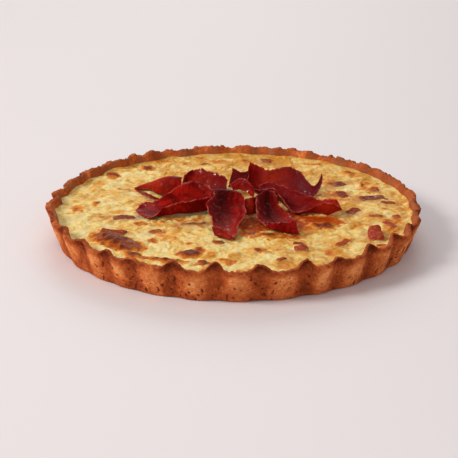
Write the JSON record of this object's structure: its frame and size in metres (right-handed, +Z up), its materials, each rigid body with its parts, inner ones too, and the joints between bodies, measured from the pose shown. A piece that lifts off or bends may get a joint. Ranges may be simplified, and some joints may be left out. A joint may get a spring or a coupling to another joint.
{
  "type": "quiche",
  "caption": "Whole round quiche: fluted shortcrust shell, browned cheese custard with diced ham set in it, and a rosette of crisp ham slices on top.",
  "frame": {"origin": "centre of the round underside, on the surface that the quiche stands on", "axes": "+Z up through the height of the quiche, +Y towards its back as shown, +X to its right"},
  "size_m": [0.2805, 0.2797, 0.0422],
  "materials": {
    "pastry": "matt, golden brown, darker at the rim, with small pits",
    "custard": "satin, pale yellow with browned patches",
    "diced_ham": "satin, brownish pink",
    "crisp_ham": "oily gloss, deep red, slightly translucent"
  },
  "bodies": {
    "root": {"crust": "pastry", "custard": "custard", "ham_dice_01": "diced_ham", "ham_dice_02": "diced_ham", "ham_dice_03": "diced_ham", "ham_dice_04": "diced_ham", "ham_dice_05": "diced_ham", "ham_dice_06": "diced_ham", "ham_dice_07": "diced_ham", "ham_dice_08": "diced_ham", "ham_dice_09": "diced_ham", "ham_dice_10": "diced_ham", "ham_dice_11": "diced_ham", "ham_dice_12": "diced_ham", "ham_dice_13": "diced_ham", "ham_dice_14": "diced_ham", "ham_dice_15": "diced_ham", "ham_dice_16": "diced_ham", "ham_dice_17": "diced_ham", "ham_dice_18": "diced_ham", "ham_dice_19": "diced_ham", "ham_dice_20": "diced_ham", "ham_dice_21": "diced_ham", "ham_slice_back": "crisp_ham", "ham_slice_back_left": "crisp_ham", "ham_slice_back_right": "crisp_ham", "ham_slice_centre": "crisp_ham", "ham_slice_far_left": "crisp_ham", "ham_slice_far_left_under": "crisp_ham", "ham_slice_front": "crisp_ham", "ham_slice_front_right": "crisp_ham", "ham_slice_front_right_under": "crisp_ham", "ham_slice_left": "crisp_ham", "ham_slice_right": "crisp_ham"}
  },
  "joints": []
}
